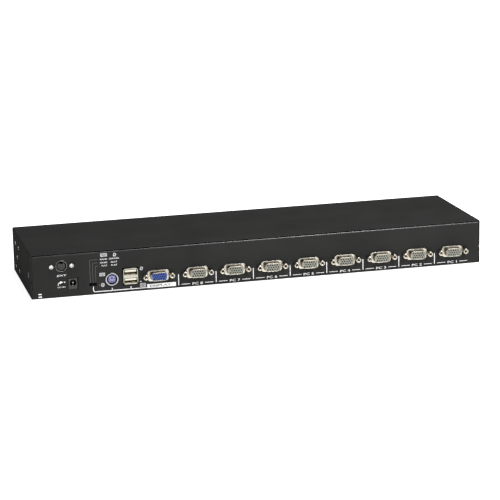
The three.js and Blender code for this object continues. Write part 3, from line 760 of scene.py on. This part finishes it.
def keyboard_socket():
    at = socket_point("keyboard_socket_insulator")
    back, front = depths("keyboard_socket_shield")
    insert_back, face = depths("keyboard_socket_insulator")
    ring = lathe([(6.1, -1.3), (6.1, front - 0.35), (6.02, front - 0.12), (5.8, front), (5.2, front),
                  (5.02, front - 0.08), (4.92, front - 0.3), (4.9, -0.9), (4.6, -1.05), (4.6, -5.0),
                  (5.6, -5.0), (5.6, -1.3)], 56, closed=True)
    can = slab([block_outline("keyboard_socket_shield", at, 0.8), circle(4.6, 48)], back, -1.35, 0.25)
    # painted shade: black liners round the ring's bore and the insert, where the socket's hollows are
    # in shade
    outer_shade_liner = lathe([(4.58, -4.9), (4.58, -1.0), (4.88, -0.85), (4.88, front - 0.45),
                         (4.35, front - 0.5), (4.35, -4.9)], 48, closed=True)
    inner_shade_liner = lathe([(3.62, -4.9), (3.62, face - 0.25), (3.44, face - 0.15), (3.44, -4.9)], 48,
                        closed=True)
    piece("keyboard_socket_shade_liner", joined(outer_shade_liner, inner_shade_liner), PITCH, at)
    piece("keyboard_socket_ring", joined(ring, can), PALE_NICKEL, at, replaces="keyboard_socket_shield")

    holes = on_circle(2.4, (8, 172, 225, 315), -0.1) + on_circle(1.6, (250, 290), -0.9)
    keyway = box_outline(1.35, 1.8, 0.15, 0, 1.0)
    insert = pierced_plug(circle(3.42, 48), holes, 0.5, insert_back, face, [keyway])
    piece("keyboard_socket_insert", insert, LILAC, at, replaces="keyboard_socket_insulator")
    sleeve = lathe([(0.49, face - 2.8), (0.49, face - 0.12), (0.3, face - 0.14),
                    (0.26, face - 2.6)], 12)
    # painted shade: a near black floor at the bottom of the keyway
    floor = slab([box_outline(1.33, 1.78, 0.14, 0, 1.0)], face - 2.8, face - 0.25)
    rib = slab([box_outline(0.8, 0.7, 0.08, 0, 3.95)], -4.5, face - 0.4, 0.05)
    ribs = [moved(rib, turn=math.radians(degrees)) for degrees in (45, 135, 225, 315)]
    piece("keyboard_socket_contacts", joined(floor, repeated(sleeve, holes)), SHADE_BLACK_CONTACT, at)
    piece("keyboard_socket_ribs", joined(*ribs), LILAC, at)


def aux_socket():
    at = socket_point("aux_socket_shield")
    back, front = depths("aux_socket_shield")
    insert_back, face = depths("aux_socket_insulator")
    flange_back, flange_front = -2.5, -1.3
    ring = lathe([(5.2, flange_back), (5.2, front - 0.12), (5.12, front), (4.96, front),
                  (4.88, front - 0.12), (4.88, flange_back)], 56, closed=True)
    can = lathe([(6.0, back), (6.0, flange_back), (5.1, flange_back), (5.1, back)], 48, closed=True)
    plate = slab([box_outline(26, 12.4, 2), circle(5.1, 48), circle(1.3, 20, -9.5),
                  circle(1.3, 20, 9.5)], flange_back, flange_front, 0.15)
    piece("aux_socket_ring", joined(ring, can, plate), DULL_STEEL, at, replaces="aux_socket_shield")

    holes = on_circle(2.7, (195, 235, 270, 305, 345)) + on_circle(1.3, (20, 160, 240, 300))
    radius, half_width, bottom = 3.7, 1.5, 2.1
    insert = pierced_plug(notched_circle(radius, half_width, bottom), holes, 0.42, insert_back, face)
    # painted shade: black liners round the ring's bore and the insert's notched edge, where the
    # socket's hollows are in shade
    outer_shade_liner = lathe([(4.86, flange_back), (4.86, front - 0.45), (4.7, front - 0.45),
                         (4.7, flange_back - 6), (5.0, flange_back - 6), (5.0, flange_back)], 48,
                        closed=True)
    inner_shade_liner = skin([at_height(notched_circle(radius + gap, half_width - gap, bottom - gap), c)
                        for gap, c in ((0.14, face - 4), (0.14, face - 0.3), (0.02, face - 0.2),
                                       (0.02, face - 4))], closed=True)
    piece("aux_socket_shade_liner", joined(outer_shade_liner, inner_shade_liner), PITCH, at)
    piece("aux_socket_insert", insert, SOOTY, at, replaces="aux_socket_insulator")
    sleeve = lathe([(0.4, -2.5), (0.4, -0.5), (0.24, -0.5), (0.24, -2.3)], 10)
    piece("aux_socket_contacts", repeated(sleeve, holes), SHADE_BLACK_CONTACT, at)


keyboard_socket()
aux_socket()


# ---- screws


def cross_cut(width, arm):
    """The outline of a cross recess: a plus sign."""
    w, t = width / 2, arm / 2
    return [(-w, -t), (-t, -t), (-t, -w), (t, -w), (t, -t), (w, -t), (w, t), (t, t), (t, w), (-t, w),
            (-t, t), (-w, t)]


def pan_screw(turn):
    """Pan head with a cross recess, on a threaded shank."""
    dome = lathe([(PAN_HEAD, 0.05), (PAN_HEAD, 0.35), (PAN_HEAD * 0.97, 0.5),
                  (PAN_HEAD * 0.93, 0.62)], 32)
    crown = slab([circle(PAN_HEAD * 0.95, 32), cross_cut(3.2, 1.0)], 0.5, 1.6, 0.25, 4)
    shank = [(0.98, 0.1), *thread(0.0, -5.4, ((0.98, 0.1), (0.8, 0.3), (0.98, 0.5))), (0.7, -6.0)]
    return moved(joined(dome, crown, lathe(shank, 20)), turn=turn)


def flat_screw(turn):
    """Countersunk head with a cross recess, its top at c = 0."""
    top = slab([circle(FLAT_HEAD, 32), cross_cut(3.0, 0.75)], -0.45, 0, 0.06)
    cone = lathe([(FLAT_HEAD, -0.4), (1.25, -0.95)], 32)
    shank = lathe([(1.25, -0.9), (1.25, -4.6), (0.9, -5)], 20)
    return moved(joined(top, cone, shank), turn=turn)


def fixing_screws():
    """The auxiliary socket's two screws, and the cover's two in its top and two in its sides."""
    for word, turn in (("left", 0.5), ("right", 0.95)):
        node = f"aux_screw_{word}"
        piece(f"aux_fixing_screw_{word}", pan_screw(turn), BRIGHT_STEEL, socket_point(node),
              replaces=node)
    for word, turn, view, outer in (("left", 0.35, FROM_MINUS_X, 0), ("right", 0.8, FROM_PLUS_X, 1)):
        node = f"cover_screw_top_{word}"
        at = centre_of(node)
        at.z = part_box(node)[1].z
        piece(f"top_fixing_screw_{word}", flat_screw(turn), BLACK_SCREW, at, FROM_ABOVE,
              replaces=node)
        node = f"cover_screw_side_{word}"
        at = centre_of(node)
        at.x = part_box(node)[outer].x
        piece(f"side_fixing_screw_{word}", flat_screw(turn), BLACK_SCREW, at, view,
              replaces=node)


fixing_screws()


# ---- power inlet and mode switch


def dc_inlet():
    at = Vector((centre_of("dc_inlet_body").x, REAR, centre_of("dc_inlet_pin").z))
    back, front = depths("dc_inlet_body")
    width, height = face_size("dc_inlet_body")
    middle = (centre_of("dc_inlet_body").z - at.z) / MM
    edge = box_outline(width, height, 0.4, 0, middle)
    nose = box_outline(width - 0.8, height - 0.8, 0.4, -0.1, middle - 0.4)
    barrel = circle(BARREL_HOLE, 40)
    housing = joined(slab([edge, barrel], -9.4, front - 1.3, 0.16),
                     slab([nose, barrel], front - 1.4, front, 0.16),
                     slab([edge, circle(1.3, 24)], back, -9.3, 0.1))
    spring = slab([box_outline(1.6, 0.25, 0.05, 0, -2.85)], -8.5, front - 1.4, 0.04)
    piece("dc_inlet_housing", housing, SOOTY, at, replaces="dc_inlet_body")
    piece("dc_inlet_spring", spring, ZINC, at)


def mode_slider():
    back, front = depths("mode_switch_slider")
    knob = slab([box_outline(1.8, 1.7, 0.15)], -4.5, front - 0.15, 0.1)
    ribs = [slab([box_outline(0.26, 1.6, 0.05, a)], front - 0.3, front, 0.05) for a in (-0.6, 0, 0.6)]
    foot = slab([box_outline(3.4, 2.4, 0.2)], back, back + 2.2, 0.12)
    piece("mode_slider_knob", joined(knob, foot, *ribs), PITCH, socket_point("mode_switch_slider"),
          body="mode_slider", replaces="mode_switch_slider")


dc_inlet()
mode_slider()


# ---- rack-ear inserts


def ear_inserts():
    """Pressed-in threaded bushes seen in the side walls' holes, at the front end."""
    profile = [(1.56, -3.4), (1.56, -0.06), (1.5, -0.02), (1.3, -0.02), (1.2, -0.14),
               *thread(-0.2, -2.9, ((1.2, 0.12), (1.2, 0.25), (1.36, 0.5))), (1.2, -3.4)]
    aside, up = EAR_SPREAD
    places = [(0, 0)] + [(i * aside, j * up) for i in (-1, 1) for j in (-1, 1)]
    bushes = repeated(lathe(profile, 24, closed=True), places)
    for word, view, x in (("left", FROM_MINUS_X, CASE_LOW.x), ("right", FROM_PLUS_X, CASE_HIGH.x)):
        at = Vector((x, FRONT + EAR_FROM_FRONT * MM, EAR_LEVEL * MM))
        piece(f"ear_bushes_{word}", bushes, ZINC, at, view)


ear_inserts()


# ---- printing on the rear wall


def bar(a0, b0, a1, b1):
    return slab([[(a0, b0), (a1, b0), (a1, b1), (a0, b1)]], 0, INK)


def line(points, width):
    return slab([ribbon(points, width)], 0, INK)


def keyboard_sign(a, b, width, height):
    """A keyboard seen from above: a light board with its keys left dark."""
    keys = [box_outline(width * 0.115, height * 0.2, 0, a + (i - 2) * width * 0.17, b + height * h, 1)
            for h in (0.22, -0.06) for i in range(5)]
    keys.append(box_outline(width * 0.42, height * 0.12, 0, a, b - height * 0.32, 1))
    return slab([box_outline(width, height, 0.3, a, b, 2), *keys], 0, INK)


def mouse_sign(a, b, width, height):
    """A mouse seen from above, leaning a little, with its ball, wheel and buttons' seams left dark."""
    seams = [ribbon([(side * width * 0.36, -height * 0.06), (side * width * 0.2, height * 0.02)],
                    width * 0.08) for side in (-1, 1)]
    dark = [circle(width * 0.24, 16), box_outline(width * 0.1, height * 0.26, 0, 0, height * 0.32, 1)]
    mouse = slab([box_outline(width, height, width * 0.36, 0, 0, 6), *dark, *seams], 0, INK)
    return moved(mouse, a, b, turn=math.radians(-14))


def plug_sign(a, b):
    """A round plug on its lead, and an arrow towards the inlet."""
    lead = line(bent([(a - 3.4, b - 1.6), (a - 3.2, b + 0.1), (a - 2.0, b + 0.9)], 0.9), 0.55)
    body = moved(slab([box_outline(2.4, 1.7, 0.5)], 0, INK), a - 1.0, b + 1.1, turn=math.radians(30))
    nose = moved(slab([box_outline(1.1, 0.8, 0.2)], 0, INK), a + 0.6, b + 1.2)
    arrow = slab([[(a + 2.2, b + 0.5), (a + 2.2, b + 1.9), (a + 3.6, b + 1.2)]], 0, INK)
    return joined(lead, body, nose, arrow)


def across(node):
    """How far a node's middle is from the left end of the rear wall, as seen from behind."""
    return (CASE_HIGH.x - centre_of(node).x) / MM


def print_on_rear(name, solids, material, lift=INK_LIFT):
    """Everything is placed from the lower left corner of the rear wall, as seen from behind."""
    piece(name, joined(*solids), material, Vector((CASE_HIGH.x, REAR + lift * MM, 0)))


def port_printing():
    names, dividers = [], []
    for number in PORTS:
        a = across(f"port_{number}_shell")
        names.append(lettering(f"PC {number}", a, 2.9, 2.3, 10.0 if number > 1 else 9.4, 0.12))
        names.append(line([(a - 15.6, 3.05), (a - 7.2, 3.05)], 0.5))
        names.append(line([(a + 7.2, 3.05), (a + 15.2, 3.05)], 0.5))
        dividers.append(bar(a - 18.55, 2.4, a - 17.87, 13.0))
    print_on_rear("port_names", names, WHITE_INK)
    print_on_rear("port_dividers", dividers, WHITE_INK)


def console_printing():
    display, mode = across("console_shell"), across("mode_switch_slider")
    print_on_rear("display_name_block", [bar(display - 10.9, 2.1, display + 16.5, 5.9)], WHITE_INK)
    print_on_rear("display_name", [lettering("DISPLAY", display + 1.8, 3.95, 1.9, 20.2, 0.14)],
                  DARK_INK, INK_LIFT + INK)

    links = [line(bent([(mode + 0.1, 8.0), (mode + 0.1, 2.8), (display - 11.2, 2.8)], 1.8), 0.7)]
    for socket in (across("keyboard_socket_insulator"), across("usb_shell")):
        links.append(line([(socket, 2.8), (socket, 5.2)], 0.75))
    signs = [keyboard_sign(68.4, 37.3, 6.2, 3.2), mouse_sign(78.6, 36.8, 2.7, 3.4),
             keyboard_sign(66.4, 18.8, 5.2, 3.1), mouse_sign(66.6, 8.8, 3.1, 3.4),
             mouse_sign(103.5, 21.6, 2.7, 3.2), keyboard_sign(104.4, 5.6, 5.3, 3.5),
             slab([[(101.6, 8.6), (103.4, 8.6), (102.5, 10.2)]], 0, INK)]
    print_on_rear("input_link_line", links, WHITE_INK)
    print_on_rear("input_signs", signs, THIN_INK)


def mode_printing():
    """A table of what each place of the mode switch is for, and lines that lead to its rows."""
    mode = across("mode_switch_slider")
    words = [lettering(*word) for word in (
        ("ROUND", 68.2, 33.2, 1.3, 6.6, 0.1), ("(ROUND)", 78.0, 33.2, 1.7, 9.2, 0.07),
        ("ROUND", 68.2, 30.1, 1.3, 6.6, 0.1), ("FLAT", 78.0, 30.1, 1.3, 5.8, 0.07),
        ("FLAT", 68.8, 27.1, 1.3, 5.2, 0.1), ("FLAT", 78.0, 27.1, 1.3, 5.8, 0.07))]
    leaders = []
    for i, b in enumerate((33.4, 30.3, 27.3)):
        stem = mode + (i - 1) * 2.6
        leaders.append(line(bent([(stem, 11.9), (stem, b), (62.4, b)], 0.9), 0.26))
    leaders.append(line([(63.4, 7.9), (63.4, 9.9)], 0.4))
    print_on_rear("mode_table", words, WHITE_INK)
    print_on_rear("mode_leaders", leaders, FAINT_INK)


def socket_printing():
    words = [lettering("EXT", across("aux_socket_shield") + 0.2, 20.9, 1.5, 9.4, 0.1, 0.25),
             lettering("DC IN", 27.9, 9.9, 1.3, 7.0, 0.06), plug_sign(28.3, 13.2),
             bar(6.2, 4.15, 9.3, 5.15), bar(6.2, 1.5, 9.3, 2.75)]
    print_on_rear("socket_names", words, WHITE_INK)


port_printing()
console_printing()
mode_printing()
socket_printing()


# ---- front controls


def button_cap(back, front):
    """Cap with a dished face and a pip in the middle, on a flange inside the wall and a stem."""
    loops = ((0, back + 0.6), (0, front - 0.55), (0.05, front - 0.3), (0.2, front - 0.1), (0.45, front),
             (0.9, front - 0.02), (1.6, front - 0.14), (2.3, front - 0.2))
    cap = skin([at_height(box_outline(CAP_WIDTH - 2 * inset, CAP_HEIGHT - 2 * inset, 1.0), c)
                for inset, c in loops])
    flange = slab([box_outline(CAP_WIDTH + 2.4, CAP_HEIGHT + 2.4, 1.0)], back + 0.6, back + 1.6, 0.12)
    stem = slab([box_outline(3.2, 3.2, 0.3)], back, back + 0.8, 0.15)
    pip = lathe([(0.45, front - 0.3), (0.45, front - 0.14), (0.3, front - 0.05),
                 (0.1, front - 0.02)], 20)
    return joined(cap, flange, stem, pip)


def outlined(width, height, radius, a, b, stroke=0.3):
    """A printed rectangle with round corners, drawn as a line."""
    return slab([box_outline(width, height, radius, a, b),
                 box_outline(width - 2 * stroke, height - 2 * stroke, radius - stroke, a, b)], 0, INK)


def front_controls():
    """Button caps, and the printing on the label film."""
    film_low, film_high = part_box("front_label")
    corner = Vector((0, film_low.y - INK_LIFT * MM, 0))
    numbers, frames = [], []
    for number in PORTS:
        node = f"port_button_{number}"
        low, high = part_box(node)
        centre = centre_of(node)
        cap = button_cap((FRONT - high.y) / MM, (FRONT - low.y) / MM)
        piece(f"button_cap_{number}", cap, KEY_GREY, Vector((centre.x, FRONT, centre.z)), FROM_FRONT,
              body=f"button_{number}", replaces=node)
        a = centre.x / MM
        numbers.append(lettering(str(number), a, 20.6, 3.0, None, 0.1))
        frames.append(outlined(CAP_WIDTH + 3.6, CAP_HEIGHT + 3.6, 2.0, a, centre.z / MM))
        frames.append(outlined(9.6, 10.4, 1.2, a, 27.5))
    half = (film_high.x - film_low.x) / 2 / MM
    frames += [line([(-half + 5, b), (half - 5, b)], 0.5) for b in (36.2, 6.3)]
    ring = lathe([(2.2, 0), (2.2, INK), (1.7, INK), (1.7, 0)], 32, closed=True)
    frames += [moved(ring, a, 21) for a in (-half + 12, half - 12)]
    piece("port_numbers", joined(*numbers), WHITE_INK, corner, FROM_FRONT)
    piece("control_frames", joined(*frames), WHITE_INK, corner, FROM_FRONT)


front_controls()


# ---- on the boards


def leaded_chip(node, name, legs_a, legs_b):
    """Moulded package with bent legs along all four of its sides."""
    low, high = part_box(node)
    legs_reach = 1.2
    wide, deep = ((size / MM - 2 * legs_reach) for size in (high.x - low.x, high.y - low.y))
    tall = (high.z - low.z) / MM
    body = slab([box_outline(wide, deep, 0.5)], 0.15, tall, 0.25)
    leg_side = ribbon([(0, tall * 0.5), (0.35, tall * 0.5), (0.6, 0.12), (1.1, 0.12)], 0.2)
    leg = skin([[(b, h, c) for b, c in leg_side] for h in (-0.19, 0.19)])
    legs = []
    for count, half, quarters in ((legs_a, wide / 2, (0, 2)), (legs_b, deep / 2, (1, 3))):
        for quarter in quarters:
            for i in range(count):
                placed = moved(leg, half - 0.05, (i - (count - 1) / 2) * 0.8)
                legs.append(moved(placed, turn=quarter * math.pi / 2))
    piece(name, body, CHIP, foot_of(node), FROM_ABOVE, replaces=node)
    piece(f"{name}_legs", joined(*legs), ZINC, foot_of(node), FROM_ABOVE)


def turned_part(node, name, profile, material):
    piece(name, lathe(profile, 40), material, foot_of(node), FROM_ABOVE, replaces=node)


def board_parts():
    leaded_chip("microcontroller", "controller_chip", 22, 20)
    leaded_chip("video_switch_chip", "switch_chip", 32, 30)
    can = [(4.6, 0), (4.9, 0.3), (4.9, 1.2), (4.55, 1.6), (4.9, 2.0), (4.9, 11.4), (4.5, 11.9),
           (4.1, 11.9), (4.0, 11.7)]
    windings = [(4.6 + 0.25 * (k % 2), 1.1 + 0.42 * k) for k in range(9)]
    bobbin = [(5.3, 0), (5.3, 0.9), *windings, (5.3, 5.0), (5.3, 5.8), (5.0, 6.0)]
    beeper = [(5.8, 0), (5.8, 7.4), (5.4, 7.9), (1.3, 7.9), (1.2, 5.0)]
    turned_part("filter_capacitor", "smoothing_capacitor", can, BLACK)
    turned_part("power_inductor", "wound_inductor", bobbin, CHIP)
    turned_part("buzzer", "beeper", beeper, BLACK)

    resistors, ends = [], []
    for centre_a, centre_b in ((95, -2), (-30, 12)):
        for i in range(14):
            a = centre_a + (i % 7 - 3) * 6.5
            b = centre_b + (24 if i < 7 else -24)
            resistors.append(slab([box_outline(1.4, 1.25, 0.1, a, b)], 0.12, 0.75, 0.06))
            ends += [slab([box_outline(0.4, 1.3, 0.1, a + side * 0.85, b)], 0.1, 0.8, 0.06)
                     for side in (-1, 1)]
    board_top = Vector((0, 0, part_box("main_board")[1].z))
    piece("board_resistors", joined(*resistors), CHIP, board_top, FROM_ABOVE)
    piece("board_resistor_ends", joined(*ends), ZINC, board_top, FROM_ABOVE)


board_parts()


# ---- camera, light and floor

CAMERA_AT = Vector((0.4548, 1.8384, 0.4791))
CAMERA_AIM = Vector((-0.0041, 0.0, 0.0157))
CAMERA_ROLL = math.radians(1.206)
CAMERA_LENS = 144.15
PAPER = (0.9, 0.9, 0.9)
FLOOR_LEVEL = -0.0002
FLOOR_GLOW = 0.92
WORLD_GLOW = 0.1
LIGHTS = (  # name, place, size and power
    ("top_softbox", (-0.5, 0.3, 1.8), (0.9, 0.9), 40),
    ("strip_softbox", (-0.5, 1.12, 1.12), (0.5, 0.36), 10),
)


def linked(name, data):
    obj = bpy.data.objects.new(name, data)
    bpy.context.scene.collection.objects.link(obj)
    return obj


def aimed_camera():
    camera = linked("camera", bpy.data.cameras.new("camera"))
    camera.data.sensor_width = 36
    camera.data.lens = CAMERA_LENS
    camera.data.clip_end = 50
    forward = (CAMERA_AIM - CAMERA_AT).normalized()
    right = forward.cross(Vector((0, 0, 1))).normalized()
    up = right.cross(forward)
    rolled = Matrix.Rotation(CAMERA_ROLL, 3, forward)
    turn = Matrix((rolled @ right, rolled @ up, -forward)).transposed()
    camera.matrix_world = Matrix.Translation(CAMERA_AT) @ turn.to_4x4()
    bpy.context.scene.camera = camera


def paper_floor():
    """A pale floor that glows a little, so that it stays plain."""
    n = Nodes("floor_paper")
    paper = n.finish(n.blend(n.spread(n.noise(3, 2), 0, 1), shade(PAPER, 0.995), PAPER), 0.7)
    n.shader.inputs["Emission Color"].default_value = (1, 1, 1, 1)
    n.shader.inputs["Emission Strength"].default_value = FLOOR_GLOW
    mesh = bpy.data.meshes.new("floor")
    mesh.from_pydata([(-6, -6, 0), (6, -6, 0), (6, 6, 0), (-6, 6, 0)], [], [[0, 1, 2, 3]])
    mesh.materials.append(paper)
    floor = linked("floor", mesh)
    floor.location.z = FLOOR_LEVEL


def studio_light():
    world = bpy.data.worlds.new("studio")
    world.use_nodes = True
    background = world.node_tree.nodes["Background"].inputs
    background["Color"].default_value = (1, 1, 1, 1)
    background["Strength"].default_value = WORLD_GLOW
    bpy.context.scene.world = world
    for name, at, size, power in LIGHTS:
        light = linked(name, bpy.data.lights.new(name, "AREA"))
        light.data.shape = "RECTANGLE"
        light.data.size, light.data.size_y = size
        light.data.energy = power
        light.location = at
        light.rotation_euler = (-Vector(at)).to_track_quat("-Z", "Y").to_euler()
    bpy.context.scene.view_settings.view_transform = "Standard"


aimed_camera()
paper_floor()
studio_light()
